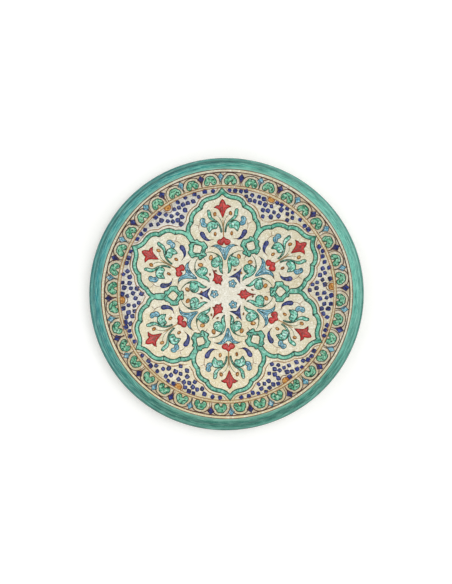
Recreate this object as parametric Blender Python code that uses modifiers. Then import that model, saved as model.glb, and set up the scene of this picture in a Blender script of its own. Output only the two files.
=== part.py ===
"""Wheel-thrown earthenware serving dish with a turned-down rim and a foot ring.

The dish is built in the layers that the potter builds it in: the thrown clay body, the foot ring
luted under it, and the fired glaze coats that lie on the clay. Metres, +Z up, with the origin at
the middle of the foot ring's underside.
"""

import math

import bpy

# Driving dimensions of the glazed face, from the centre outwards
DISH_RADIUS = 0.1750
FLOOR_HEIGHT = 0.0190        # the face at its centre, above the table
WELL_RADIUS = 0.1280         # where the shallow well starts to turn up
WELL_RISE = 0.0070
COVE_BEND = 0.0300           # radius of the turn from the well into the wall
WALL_SLOPE = math.radians(35)
WALL_TOP_RADIUS = 0.1555
CREST_BEND = 0.0055          # radius of the rounded top of the rim
BAND_SLOPE = math.radians(33)
BEAD_BEND = 0.0042           # radius of the rolled lip
BEAD_PROUD = 0.0005          # how far the lip stands above the line of the band
BEAD_START = math.radians(100)
BEAD_END = math.radians(-100)
GROOVE_DEPTH = 0.0006        # the finger line between the band and the lip
GROOVE_HALF_WIDTH = 0.0012

# Underside, each point a radius and a height above the table
UNDER_LIP = (0.1672, 0.0274)
UNDER_RIM = (0.1605, 0.0316)
UNDER_WALL_TOP = (0.1500, 0.0270)
UNDER_WALL_FOOT = (0.1405, 0.0207)
UNDER_COVE = (0.1290, 0.0168)
UNDER_WELL = (0.1100, 0.0143)
UNDER_FOOT = (0.0865, 0.0118)
UNDER_RECESS = (0.0768, 0.0112)
UNDER_CENTRE = (0.0000, 0.0100)

# Foot ring
FOOT_OUTER_TOP = 0.0862
FOOT_OUTER_BASE = 0.0848
FOOT_INNER_BASE = 0.0784
FOOT_INNER_TOP = 0.0771
FOOT_WEAR = 0.0010           # the base's edges are worn back by this much

GLAZE = 0.0008               # thickness of a glaze coat
GAP = 0.0003                 # clearance between touching pieces
TURN_STEPS = 64
MERGE_DISTANCE = 0.00001
QUARTER = math.pi / 2

CLAY = ((0.52, 0.27, 0.16, 1.0), 0.85)
CREAM = ((0.80, 0.71, 0.56, 1.0), 0.16)
GREEN = ((0.05, 0.38, 0.29, 1.0), 0.14)
BACK_CREAM = ((0.74, 0.64, 0.48, 1.0), 0.30)


def arc(centre, bend, start, end, steps):
    """Points on an arc. Angles start at the way out (+X) and turn up towards +Z."""
    angles = [start + (end - start) * i / steps for i in range(steps + 1)]
    return [(centre[0] + bend * math.cos(a), centre[1] + bend * math.sin(a)) for a in angles]


def well_and_wall():
    """The face from the centre to the top of the straight wall."""
    shares = (0.0, 0.4, 0.7, 1.0)
    well = [(WELL_RADIUS * s, FLOOR_HEIGHT + WELL_RISE * s * s) for s in shares]
    edge_slope = math.atan(2 * WELL_RISE / WELL_RADIUS)
    centre = (WELL_RADIUS - COVE_BEND * math.sin(edge_slope),
              well[-1][1] + COVE_BEND * math.cos(edge_slope))
    cove = arc(centre, COVE_BEND, edge_slope - QUARTER, WALL_SLOPE - QUARTER, 2)[1:]
    wall_rise = (WALL_TOP_RADIUS - cove[-1][0]) * math.tan(WALL_SLOPE)
    return well + cove + [(WALL_TOP_RADIUS, cove[-1][1] + wall_rise)]


def crest_centre():
    wall_top = well_and_wall()[-1]
    return (wall_top[0] + CREST_BEND * math.sin(WALL_SLOPE),
            wall_top[1] - CREST_BEND * math.cos(WALL_SLOPE))


def face_line():
    """The cream face: well, wall, and the inner half of the rounded crest."""
    crest = arc(crest_centre(), CREST_BEND, QUARTER + WALL_SLOPE, QUARTER, 2)
    return well_and_wall() + crest[1:]


def rim_line():
    """The green rim: outer half of the crest, falling band, finger line, rolled lip and underside."""
    crest = arc(crest_centre(), CREST_BEND, QUARTER - GAP / CREST_BEND, QUARTER - BAND_SLOPE, 2)
    out, up = math.sin(BAND_SLOPE), math.cos(BAND_SLOPE)
    bead_radius = DISH_RADIUS - BEAD_BEND
    bead_drop = (BEAD_BEND - BEAD_PROUD + out * (bead_radius - crest[-1][0])) / up
    bead_centre = (bead_radius, crest[-1][1] - bead_drop)
    bead = arc(bead_centre, BEAD_BEND, BEAD_START, BEAD_END, 6)
    groove_radius = bead[0][0] - GROOVE_HALF_WIDTH
    band_height = crest[-1][1] - (groove_radius - crest[-1][0]) * math.tan(BAND_SLOPE)
    band_end = (groove_radius - GROOVE_HALF_WIDTH, band_height + GROOVE_HALF_WIDTH * out)
    groove = (groove_radius, band_height - GROOVE_DEPTH)
    return crest + [band_end, groove] + bead + [UNDER_LIP, UNDER_RIM]


def back_line():
    """The underside from the rim to the foot ring. It starts one gap inside the green glaze."""
    start = (UNDER_RIM[0] - GAP, UNDER_RIM[1] - GAP / 2)
    return [start, UNDER_WALL_TOP, UNDER_WALL_FOOT, UNDER_COVE, UNDER_WELL, UNDER_FOOT]


def recess_line():
    return [UNDER_RECESS, UNDER_CENTRE]


def inward_normals(line):
    """Unit normals into the clay, for a line that runs out over the face and back underneath."""
    normals = []
    for i, point in enumerate(line):
        before = line[max(i - 1, 0)]
        after = line[min(i + 1, len(line) - 1)]
        run, rise = after[0] - before[0], after[1] - before[1]
        length = math.hypot(run, rise)
        on_axis = point[0] == 0.0
        normals.append((0.0, math.copysign(1.0, -run)) if on_axis else (rise / length, -run / length))
    return normals


def inset(line, depth):
    pairs = zip(line, inward_normals(line))
    return [(point[0] + depth * n[0], point[1] + depth * n[1]) for point, n in pairs]


def clay_outline():
    """The clay under the coats: the whole surface, less the doubled points where two coats meet."""
    surface = face_line() + rim_line()[1:] + back_line()[1:] + recess_line()
    return inset(surface, GLAZE + GAP)


def coat_outline(line):
    """A coat of glaze: its outer line, then its inner line on the way back."""
    return line + inset(line, GLAZE)[::-1]


def foot_outline():
    """The foot ring: outer side from the top down, worn base, and up the inner side."""
    slope = (UNDER_FOOT[1] - UNDER_RECESS[1]) / (UNDER_FOOT[0] - UNDER_RECESS[0])
    clay_height = UNDER_RECESS[1] + GLAZE
    outer_top = clay_height + slope * (FOOT_OUTER_TOP - UNDER_RECESS[0])
    inner_top = clay_height + slope * (FOOT_INNER_TOP - UNDER_RECESS[0])
    return [(FOOT_OUTER_TOP, outer_top), (FOOT_OUTER_BASE, FOOT_WEAR),
            (FOOT_OUTER_BASE - FOOT_WEAR, 0.0), (FOOT_INNER_BASE + FOOT_WEAR, 0.0),
            (FOOT_INNER_BASE, FOOT_WEAR), (FOOT_INNER_TOP, inner_top)]


def make_material(name, look):
    colour, roughness = look
    material = bpy.data.materials.new(name)
    material.use_nodes = True
    shader = material.node_tree.nodes["Principled BSDF"]
    shader.inputs["Base Color"].default_value = colour
    shader.inputs["Roughness"].default_value = roughness
    return material


def turn(name, outline, look, group, parent):
    """A turned piece: its outline, closed unless it starts and ends on the axis, swept right round."""
    count = len(outline)
    edges = [(i, i + 1) for i in range(count - 1)]
    if outline[0][0] > 0.0:
        edges.append((count - 1, 0))
    mesh = bpy.data.meshes.new(name)
    mesh.from_pydata([(radius, 0.0, height) for radius, height in outline], edges, [])
    mesh.materials.append(make_material(name, look))
    piece = bpy.data.objects.new(name, mesh)
    group.objects.link(piece)
    piece.parent = parent
    screw = piece.modifiers.new("Turn", "SCREW")
    screw.steps = TURN_STEPS
    screw.render_steps = TURN_STEPS
    screw.use_merge_vertices = True
    screw.merge_threshold = MERGE_DISTANCE
    screw.use_smooth_shade = True
    return piece


def build_dish():
    for thing in list(bpy.data.objects):
        bpy.data.objects.remove(thing)
    group = bpy.data.collections.new("painted_dish")
    bpy.context.scene.collection.children.link(group)
    centre = bpy.data.objects.new("dish_centre", None)
    group.objects.link(centre)
    turn("dish_body", clay_outline(), CLAY, group, centre)
    turn("foot_ring", foot_outline(), CLAY, group, centre)
    turn("ground_glaze", coat_outline(face_line()), CREAM, group, centre)
    turn("rim_glaze", coat_outline(rim_line()), GREEN, group, centre)
    turn("back_glaze", coat_outline(back_line()), BACK_CREAM, group, centre)
    turn("recess_glaze", coat_outline(recess_line()), BACK_CREAM, group, centre)


build_dish()
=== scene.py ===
# A hand painted earthenware serving dish: thrown clay, glaze coats, and a rosette painted in enamels.
# The painting is drawn in millimetres on the flat, then laid down on the dish.

import math
import random

import bpy
import numpy as np
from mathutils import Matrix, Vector, kdtree, noise
from mathutils.geometry import delaunay_2d_cdt


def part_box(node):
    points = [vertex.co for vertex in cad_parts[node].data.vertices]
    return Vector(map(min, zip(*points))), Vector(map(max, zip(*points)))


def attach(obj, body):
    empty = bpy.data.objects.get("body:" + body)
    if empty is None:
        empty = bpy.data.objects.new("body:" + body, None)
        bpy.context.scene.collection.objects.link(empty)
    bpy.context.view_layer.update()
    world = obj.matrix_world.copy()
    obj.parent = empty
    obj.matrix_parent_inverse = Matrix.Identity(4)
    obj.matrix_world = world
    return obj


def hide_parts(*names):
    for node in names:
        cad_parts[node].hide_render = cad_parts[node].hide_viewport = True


noise.seed_set(7)    # the painter's hand strays the same way each time
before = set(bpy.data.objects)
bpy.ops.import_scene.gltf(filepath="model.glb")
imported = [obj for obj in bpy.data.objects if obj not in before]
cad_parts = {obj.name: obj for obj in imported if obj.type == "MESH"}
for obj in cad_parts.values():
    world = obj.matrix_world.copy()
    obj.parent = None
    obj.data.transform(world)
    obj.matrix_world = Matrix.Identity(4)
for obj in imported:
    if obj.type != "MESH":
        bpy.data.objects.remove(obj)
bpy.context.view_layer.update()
mm = 0.001
quarter = math.pi / 2


def smoothStep(low, high, value):
    share = np.clip((value - low) / (high - low), 0.0, 1.0)
    return share * share * (3 - 2 * share)


def hexColour(code):
    channels = [int(code[i:i + 2], 16) / 255 for i in (1, 3, 5)]
    return tuple(c / 12.92 if c <= 0.04045 else ((c + 0.055) / 1.055) ** 2.4 for c in channels) + (1.0,)


def addNode(tree, kind, settings=None, links=None):
    # a link comes from a socket, or from a node's first output
    node = tree.nodes.new(kind)
    for name, value in (settings or {}).items():
        if isinstance(name, int) or name in node.inputs:
            node.inputs[name].default_value = value
        else:
            setattr(node, name, value)
    for name, source in (links or {}).items():
        tree.links.new(getattr(source, "outputs", [source])[0], node.inputs[name])
    return node


def newTree(name, sockets):
    # sockets: name -> kind of value, after the geometry that goes in and comes out
    tree = bpy.data.node_groups.new(name, "GeometryNodeTree")
    tree.interface.new_socket("Geometry", in_out="OUTPUT", socket_type="NodeSocketGeometry")
    tree.interface.new_socket("Geometry", in_out="INPUT", socket_type="NodeSocketGeometry")
    for label, kind in sockets.items():
        tree.interface.new_socket(label, in_out="INPUT", socket_type="NodeSocket" + kind)
    return tree, tree.nodes.new("NodeGroupInput").outputs


def finishTree(tree, geometry, material):
    # every tree ends in real geometry with its finish on it
    real = addNode(tree, "GeometryNodeRealizeInstances", links={0: geometry})
    smooth = addNode(tree, "GeometryNodeSetShadeSmooth", links={0: real})
    coat = addNode(tree, "GeometryNodeSetMaterial", links={0: smooth, "Material": material})
    addNode(tree, "NodeGroupOutput", links={0: coat})


def runTree(mesh, tree, values):
    # the tree's result as a plain mesh; inputs are set by their sockets' identifiers
    host = bpy.data.objects.new("host", mesh)
    bpy.context.scene.collection.objects.link(host)
    modifier = host.modifiers.new("tree", "NODES")
    modifier.node_group = tree
    for socket in tree.interface.items_tree:
        if socket.in_out == "INPUT" and socket.name in values:
            modifier[socket.identifier] = values[socket.name]
    graph = bpy.context.evaluated_depsgraph_get()
    made = bpy.data.meshes.new_from_object(host.evaluated_get(graph), preserve_all_data_layers=True,
                                           depsgraph=graph)
    bpy.data.objects.remove(host)
    return made


def coordinates(mesh):
    points = np.empty(len(mesh.vertices) * 3, dtype=np.float32)
    mesh.vertices.foreach_get("co", points)
    return points.reshape(-1, 3).astype(float)


def setCoordinates(mesh, points):
    mesh.vertices.foreach_set("co", np.ascontiguousarray(points, dtype=np.float32).ravel())
    mesh.update()


def setField(mesh, name, values):
    field = mesh.attributes.get(name) or mesh.attributes.new(name, "FLOAT", "POINT")
    field.data.foreach_set("value", np.asarray(values, dtype=np.float32))


# The dish is one smooth outline, from the centre of the face round the lip to the back.

dishShape = {
    "lipRadius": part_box("rim_glaze")[1][0],
    "faceLow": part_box("ground_glaze")[0][2],
    "footTop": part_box("foot_ring")[1][2],
    "coat": 0.8 * mm,            # thickness of a glaze coat
    "gap": 0.3 * mm,             # between a coat and the clay
    "wellRadius": 128 * mm,
    "wellRise": 7 * mm,
    "coveBend": 30 * mm,
    "wallSlope": math.radians(35),
    "wallTop": 155.5 * mm,
    "crestBend": 5.5 * mm,
    "bandSlope": math.radians(33),
    "bandCrown": 0.35 * mm,      # the band swells this much between the crest and the finger line
    "beadBend": 4.2 * mm,
    "beadProud": 0.5 * mm,
    "grooveDepth": 0.9 * mm,
    "grooveHalfWidth": 1.5 * mm,
    "ridgePitch": 7.5 * mm,      # finger ridges left on the back by throwing
    "ridgeHeight": 0.22 * mm,
}

handMade = {
    "wellOffset": (0.4 * mm, 0.0),         # the well was opened a little off the lip's centre
    "oval": 0.0045,                        # the lip is this much wider than it is tall
    "rimWave": 0.45 * mm,                  # the rim's slow rise and fall
    "lipWave": 0.35 * mm,
    "drift": 0.8 * mm,                     # how far the painter's hand strays
    "driftSize": 24 * mm,
}

underMarks = [(160.2, 31.6), (155.5, 30.6), (150.0, 27.0), (145.0, 23.3), (140.5, 20.7), (135.0, 18.5),
              (129.0, 16.8), (120.0, 15.4), (110.0, 14.3), (98.0, 13.1), (86.5, 11.8)]
floorHeight = dishShape["faceLow"] + dishShape["coat"]


def arcPoints(centre, bend, start, end, steps):
    angles = [start + (end - start) * i / steps for i in range(steps + 1)]
    return [(centre[0] + bend * math.cos(a), centre[1] + bend * math.sin(a)) for a in angles]


def curveThrough(marks, closed, spacing):
    # a Catmull-Rom curve through the marks
    points = [Vector(mark) for mark in marks]
    count = len(points)
    curve = []
    for i in range(count if closed else count - 1):
        b, c = points[i], points[(i + 1) % count]
        a = points[i - 1] if closed or i > 0 else 2 * b - c
        d = points[(i + 2) % count] if closed or i + 2 < count else 2 * c - b
        steps = max(1, round((c - b).length / spacing))
        for step in range(steps):
            t = step / steps
            curve.append(0.5 * (2 * b + (c - a) * t + (2 * a - 5 * b + 4 * c - d) * t * t
                                + (3 * b - a - 3 * c + d) * t ** 3))
    return curve if closed else curve + [points[-1]]


def faceOutline(shape):
    # the cream face: a shallow well, a hollow cove, the straight wall and half of the crest
    rings = 64
    well = [(shape["wellRadius"] * i / rings, floorHeight + shape["wellRise"] * (i / rings) ** 2)
            for i in range(rings + 1)]
    edgeSlope = math.atan(2 * shape["wellRise"] / shape["wellRadius"])
    bend = shape["coveBend"]
    centre = (shape["wellRadius"] - bend * math.sin(edgeSlope), well[-1][1] + bend * math.cos(edgeSlope))
    cove = arcPoints(centre, bend, edgeSlope - quarter, shape["wallSlope"] - quarter, 8)[1:]
    rise = math.tan(shape["wallSlope"])
    wall = [(cove[-1][0] + (shape["wallTop"] - cove[-1][0]) * i / 7,
             cove[-1][1] + (shape["wallTop"] - cove[-1][0]) * rise * i / 7) for i in range(1, 8)]
    crest = arcPoints(crestCentre(wall[-1], shape), shape["crestBend"], quarter + shape["wallSlope"],
                      quarter, 5)
    return well + cove + wall + crest[1:]


def crestCentre(wallTop, shape):
    return (wallTop[0] + shape["crestBend"] * math.sin(shape["wallSlope"]),
            wallTop[1] - shape["crestBend"] * math.cos(shape["wallSlope"]))


def rimOutline(shape, crestTop):
    # the green rim: half of the crest, the falling band, the finger line, the rolled lip and its underside
    centre = (crestTop[0], crestTop[1] - shape["crestBend"])
    crest = arcPoints(centre, shape["crestBend"], quarter, quarter - shape["bandSlope"], 6)
    out, up = math.sin(shape["bandSlope"]), math.cos(shape["bandSlope"])
    beadRadius = shape["lipRadius"] - shape["beadBend"]
    reach = beadRadius - crest[-1][0]
    beadHeight = crest[-1][1] - (shape["beadBend"] - shape["beadProud"] + out * reach) / up
    bead = arcPoints((beadRadius, beadHeight), shape["beadBend"], math.radians(100), math.radians(-105), 26)
    grooveRadius = bead[0][0] - shape["grooveHalfWidth"] * 0.8
    band = []
    for i in range(1, 19):
        radius = crest[-1][0] + (bead[0][0] - 0.3 * mm - crest[-1][0]) * i / 18
        share = (radius - crest[-1][0]) / (grooveRadius - crest[-1][0])
        swell = shape["bandCrown"] * max(0.0, math.sin(math.pi * min(share, 1.0)))
        dip = shape["grooveDepth"] * math.exp(-((radius - grooveRadius) / shape["grooveHalfWidth"]) ** 2 * 2)
        band.append((radius, crest[-1][1] - (radius - crest[-1][0]) * out / up + swell - dip))
    hem = curveThrough([bead[-1], (167.2 * mm, 27.6 * mm), (163.6 * mm, 30.6 * mm), (160.2 * mm, 31.6 * mm),
                        (157.2 * mm, 31.2 * mm)], False, 1.2 * mm)[1:]
    return crest + band + bead + [tuple(point) for point in hem]


def backOutline(shape):
    marks = [(radius * mm, height * mm) for radius, height in underMarks]
    line = [tuple(point) for point in curveThrough(marks, False, 1.6 * mm)]
    return [(r, z + shape["ridgeHeight"] * math.sin(2 * math.pi * r / shape["ridgePitch"])
             * smoothStep(90 * mm, 96 * mm, r)) for r, z in line]


def inward(line, depth):
    moved = []
    for i, (radius, height) in enumerate(line):
        before, after = line[max(i - 1, 0)], line[min(i + 1, len(line) - 1)]
        run, rise = after[0] - before[0], after[1] - before[1]
        length = math.hypot(run, rise)
        side = (0.0, math.copysign(depth, -run)) if radius < 1e-6 else (depth * rise / length,
                                                                       -depth * run / length)
        moved.append((radius + side[0], height + side[1]))
    return moved


faceLine = faceOutline(dishShape)
rimLine = rimOutline(dishShape, faceLine[-1])
backLine = backOutline(dishShape)
recessLine = [(76.6 * mm, 11.2 * mm), (70 * mm, 10.8 * mm), (45 * mm, 10.35 * mm), (20 * mm, 10.05 * mm),
              (0.0, 10.0 * mm)]
topLine = np.array([p for p in faceLine + rimLine[1:] if p[0] < 167 * mm][:len(faceLine) + 20])
topLine = topLine[np.concatenate(([True], np.diff(topLine[:, 0]) > 0))]


def faceHeight(radius):
    return np.interp(radius, topLine[:, 0], topLine[:, 1])


def settle(points):
    # the hand's unevenness, the same for the clay, the coats and the painting on them
    radius = np.hypot(points[:, 0], points[:, 1])
    angle = np.arctan2(points[:, 1], points[:, 0])
    inner = 1 - smoothStep(150 * mm, 172 * mm, radius)
    outer = smoothStep(90 * mm, 172 * mm, radius)
    lip = smoothStep(160 * mm, 174 * mm, radius)
    rise = np.sin(2 * angle + 0.7) + 0.5 * np.sin(5 * angle + 2.1) - 1.5
    points[:, 2] += outer * handMade["rimWave"] * rise
    grow = 1 + lip * handMade["lipWave"] / dishShape["lipRadius"] * (np.sin(3 * angle + 1.2) - 1)
    grow += handMade["oval"] * smoothStep(60 * mm, 175 * mm, radius) * (np.cos(2 * angle) - 1)
    points[:, 0] = points[:, 0] * grow + handMade["wellOffset"][0] * inner
    points[:, 1] = points[:, 1] * grow + handMade["wellOffset"][1] * inner
    return points


def addPiece(name, mesh, material=None, replaces=None):
    if material:
        mesh.materials.clear()
        mesh.materials.append(material)
    piece = bpy.data.objects.new(name, mesh)
    mesh.name = name
    bpy.context.scene.collection.objects.link(piece)
    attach(piece, "root")
    if replaces:
        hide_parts(replaces)
    return piece


def turningTree():
    # sweeps the outline, a row of points in the XZ plane, right round the Z axis
    tree, given = newTree("turnOnTheWheel", {"Rows": "Int", "Steps": "Int",
                                             "Finish": "Material"})
    grid = addNode(tree, "GeometryNodeMeshGrid",
                   links={"Vertices X": given["Rows"], "Vertices Y": given["Steps"]})
    index = addNode(tree, "GeometryNodeInputIndex")
    share = addNode(tree, "ShaderNodeMath", {"operation": "DIVIDE"}, {0: index, 1: given["Steps"]})
    row = addNode(tree, "ShaderNodeMath", {"operation": "FLOOR"}, {0: share})
    step = addNode(tree, "ShaderNodeMath", {"operation": "MODULO"}, {0: index, 1: given["Steps"]})
    last = addNode(tree, "ShaderNodeMath", {"operation": "SUBTRACT", 1: 1.0}, {0: given["Steps"]})
    part = addNode(tree, "ShaderNodeMath", {"operation": "DIVIDE"}, {0: step, 1: last})
    angle = addNode(tree, "ShaderNodeMath", {"operation": "MULTIPLY", 1: 2 * math.pi}, {0: part})
    place = addNode(tree, "GeometryNodeInputPosition")
    sample = addNode(tree, "GeometryNodeSampleIndex", {"data_type": "FLOAT_VECTOR"},
                     {"Geometry": given["Geometry"], "Value": place, "Index": row})
    parts = addNode(tree, "ShaderNodeSeparateXYZ", links={0: sample})
    turned = {}
    for axis, kind in (("X", "COSINE"), ("Y", "SINE")):
        wave = addNode(tree, "ShaderNodeMath", {"operation": kind}, {0: angle})
        turned[axis] = addNode(tree, "ShaderNodeMath", {"operation": "MULTIPLY"},
                               {0: wave, 1: parts.outputs["X"]})
    spot = addNode(tree, "ShaderNodeCombineXYZ", links={**turned, "Z": parts.outputs["Z"]})
    moved = addNode(tree, "GeometryNodeSetPosition", links={0: grid, "Position": spot})
    closed = addNode(tree, "GeometryNodeMergeByDistance", {"Distance": 4e-6}, {0: moved})
    finishTree(tree, closed, given["Finish"])
    return tree


def turnPiece(name, outline, steps, material, replaces):
    ring = outline if outline[0][0] < 1e-6 else outline + outline[:1]
    profile = bpy.data.meshes.new("outline")
    profile.from_pydata([(radius, 0.0, height) for radius, height in ring], [], [])
    mesh = runTree(profile, wheel, {"Rows": len(ring), "Steps": steps + 1, "Finish": material})
    points = coordinates(mesh)
    setField(mesh, "ring", np.hypot(points[:, 0], points[:, 1]) / mm)
    setCoordinates(mesh, settle(points))
    return addPiece(name, mesh, replaces=replaces)


def coat(line, depth, coarse=4):
    # a coat is its outer line and, coarser, its inner line on the way back
    inner = inward(line, depth)[::-1]
    return line + inner[:-1:coarse] + inner[-1:]


# Finishes. Each enamel is a glassy colour brushed over the cream glaze: thin and streaky where the
# brush was dry, deeper where it pooled at the edge of a stroke.

def startMaterial(name, roughness, coatWeight=0.0, shine=0.5):
    material = bpy.data.materials.new(name)
    material.use_nodes = True
    tree = material.node_tree
    tree.nodes.clear()
    shader = addNode(tree, "ShaderNodeBsdfPrincipled",
                     {"Roughness": roughness, "Coat Weight": coatWeight, "Coat Roughness": 0.12, "IOR": 1.5,
                      "Specular IOR Level": shine})
    addNode(tree, "ShaderNodeOutputMaterial", links={"Surface": shader})
    place = addNode(tree, "ShaderNodeTexCoord").outputs["Object"]
    return material, tree, shader, place


def mottle(tree, place, size, low, high):
    # soft patches of the given size in millimetres, as a share from 0 to 1
    patches = addNode(tree, "ShaderNodeTexNoise", {"Scale": 1 / (size * mm), "Detail": 3.0},
                      {"Vector": place})
    return addNode(tree, "ShaderNodeMapRange", {"From Min": low, "From Max": high},
                   {"Value": patches.outputs["Fac"]})


def tint(tree, share, under, over, amount=1.0):
    # lays a colour over another by a share; under is a colour or a node's output
    scaled = addNode(tree, "ShaderNodeMath", {"operation": "MULTIPLY", 1: amount}, {0: share})
    mix = addNode(tree, "ShaderNodeMix", {"data_type": "RGBA", 7: hexColour(over)}, {0: scaled})
    if isinstance(under, str):
        mix.inputs[6].default_value = hexColour(under)
    else:
        tree.links.new(under, mix.inputs[6])
    return mix.outputs[2]


def patchy(tree, place, colour, rows):
    # colours laid over in patches; a row is (size, low, high, colour, amount)
    for size, low, high, over, amount in rows:
        colour = tint(tree, mottle(tree, place, size, low, high), colour, over, amount)
    return colour


def field(tree, name, high=1.0):
    # a value laid down on the piece's own points
    value = addNode(tree, "ShaderNodeAttribute", {"attribute_name": name}).outputs["Fac"]
    return addNode(tree, "ShaderNodeMapRange", {"From Max": high}, {"Value": value})


def stainedAndShaded(tree, colour, rows):
    # colours laid over by the piece's own fields; a row is (field, colour, amount)
    for name, over, amount in rows:
        colour = tint(tree, field(tree, name), colour, over, amount)
    return colour


def relief(tree, shader, height, distance):
    # the unevenness that can be felt with a finger, in millimetres
    bump = addNode(tree, "ShaderNodeBump", {"Strength": 1.0, "Distance": distance * mm}, {"Height": height})
    tree.links.new(bump.outputs[0], shader.inputs["Normal"])


def enamel(name, finish):
    material, tree, shader, place = startMaterial(name, finish["roughness"], 0.1, 0.3)
    colour = tint(tree, mottle(tree, place, finish["patch"], 0.40, 0.60), finish["colour"], finish["thin"])
    colour = patchy(tree, place, colour, ((2.7, 0.52, 0.64, finish["light"], finish["lights"]),
                                          (3.1, 0.47, 0.36, finish["deep"], finish["specks"])))
    pooled = addNode(tree, "ShaderNodeMath", {"operation": "SUBTRACT", 0: 1.0, "use_clamp": True},
                     {1: field(tree, "edge", 0.8)})
    colour = tint(tree, pooled, colour, finish["deep"], finish["pooling"])
    tree.links.new(colour, shader.inputs["Base Color"])
    relief(tree, shader, mottle(tree, place, 2.2, 0.2, 0.8), 0.08)
    return material


def brushLine(name, finish):
    # a thin line drawn with a loaded brush: dark where it is full, pale brown where it ran dry
    material, tree, shader, place = startMaterial(name, 0.34, shine=0.3)
    load = field(tree, "load")
    colour = tint(tree, load, finish["dry"], finish["full"])
    colour = tint(tree, mottle(tree, place, 1.6, 0.5, 0.66), colour, finish["dry"], 0.35)
    tree.links.new(colour, shader.inputs["Base Color"])
    return material


def creamGlaze():
    # opaque tin glaze over slip: glossy, slightly yellow, never even
    material, tree, shader, place = startMaterial("creamTinGlaze", 0.30, 0.25, 0.4)
    colour = tint(tree, mottle(tree, place, 26, 0.40, 0.62), "#d6d2ba", "#cfc6a2")
    # the cobalt's halo is real, but it is deepened on one side by painted shade; pale is a painted highlight
    # over the middle
    colour = stainedAndShaded(tree, colour, (("warmSide", "#dcc788", 0.55), ("blueBleed", "#9aa0bc", 0.62),
                                    ("blush", "#c0ab90", 0.85), ("straw", "#d2bb80", 0.6),
                                    ("pale", "#dad8cc", 0.6)))
    colour = patchy(tree, place, colour, ((7.0, 0.50, 0.66, "#c0b48e", 0.25),
                                          (1.9, 0.54, 0.64, "#9a8866", 0.42),
                                          (2.2, 0.48, 0.36, "#faf6ea", 0.55)))
    # fine crackle, drawn as coarse as 5 mm so that it shows
    cells = addNode(tree, "ShaderNodeTexVoronoi", {"feature": "DISTANCE_TO_EDGE", "Scale": 1 / (5.0 * mm)},
                    {"Vector": place}).outputs["Distance"]
    crackle = addNode(tree, "ShaderNodeMapRange", {"From Max": 0.035, "To Min": 1.0, "To Max": 0.0},
                      {"Value": cells})
    colour = tint(tree, crackle, colour, "#a88e6c", 0.16)
    tree.links.new(colour, shader.inputs["Base Color"])
    relief(tree, shader, mottle(tree, place, 9.0, 0.2, 0.8), 0.25)
    return material


def copperGreenGlaze():
    # copper green glaze, brushed round on the wheel: streaks follow the rim
    material, tree, shader, place = startMaterial("copperGreenGlaze", 0.26, 0.3, 0.4)
    around = addNode(tree, "ShaderNodeVectorMath", {"operation": "NORMALIZE"}, {0: place})
    ring = addNode(tree, "ShaderNodeAttribute", {"attribute_name": "ring"}).outputs["Fac"]
    across = addNode(tree, "ShaderNodeMath", {"operation": "MULTIPLY", 1: 0.36}, {0: ring})
    lane = addNode(tree, "ShaderNodeCombineXYZ", links={"Z": across})
    swept = addNode(tree, "ShaderNodeVectorMath", {"operation": "MULTIPLY_ADD", 1: (3.5, 3.5, 0.0)},
                    {0: around, 2: lane})
    streak, fine = (addNode(tree, "ShaderNodeTexNoise", {"Scale": scale, "Detail": detail},
                            {"Vector": swept}).outputs["Fac"] for scale, detail in ((1.6, 5.0), (4.0, 4.0)))
    shares = {name: addNode(tree, "ShaderNodeMapRange", {"From Min": low, "From Max": high},
                            {"Value": source})
              for name, source, low, high in (("broad", streak, 0.42, 0.60), ("thin", fine, 0.50, 0.64),
                                              ("dark", fine, 0.48, 0.36))}
    colour = tint(tree, shares["broad"], "#00685a", "#189781")
    # painted light on the +X side of the rim, painted shade on its -Y side and a painted blue reflection on
    # its -X side
    colour = stainedAndShaded(tree, colour, (("thinSide", "#7fd8c4", 0.6), ("thickSide", "#006a50", 0.6),
                                    ("blueSide", "#2c9aac", 0.55)))
    colour = tint(tree, shares["thin"], colour, "#98dac6", 0.6)
    colour = tint(tree, shares["dark"], colour, "#0c5048", 0.6)
    colour = patchy(tree, place, colour, ((3.0, 0.50, 0.70, "#237a69", 0.35),
                                          (0.9, 0.55, 0.70, "#7fcbb4", 0.30)))
    # the green is thin where it meets the cream; a painted highlight on top of the lip, painted shade on the
    # lip's outer edge, and the groove darkened by pooled glaze and by painted shade
    colour = stainedAndShaded(tree, colour, (("innerEdge", "#93cbb4", 0.5), ("lipEdge", "#8fd0c0", 0.35),
                                    ("outerEdge", "#0b4a42", 0.6), ("furrow", "#05524a", 0.75)))
    tree.links.new(colour, shader.inputs["Base Color"])
    relief(tree, shader, fine, 0.25)
    return material


def backWash():
    # a thin wash of the cream glaze on the underside: the red clay shows where it was wiped thin
    material, tree, shader, place = startMaterial("thinGlazeWash", 0.45)
    colour = tint(tree, mottle(tree, place, 18, 0.40, 0.66), "#d9c6a0", "#c7a980")
    colour = tint(tree, mottle(tree, place, 4.0, 0.56, 0.70), colour, "#ab7a55", 0.6)
    colour = tint(tree, field(tree, "ridge"), colour, "#b98a62", 0.55)
    tree.links.new(colour, shader.inputs["Base Color"])
    relief(tree, shader, mottle(tree, place, 2.5, 0.2, 0.8), 0.2)
    return material


def firedClay():
    # bare earthenware, red-brown, dry and slightly gritty
    material, tree, shader, place = startMaterial("firedEarthenware", 0.85)
    colour = tint(tree, mottle(tree, place, 9, 0.38, 0.64), "#b4714c", "#a5603e")
    colour = tint(tree, mottle(tree, place, 0.8, 0.52, 0.66), colour, "#d2a27c", 0.5)
    tree.links.new(colour, shader.inputs["Base Color"])
    relief(tree, shader, mottle(tree, place, 0.7, 0.3, 0.7), 0.15)
    return material


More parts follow.
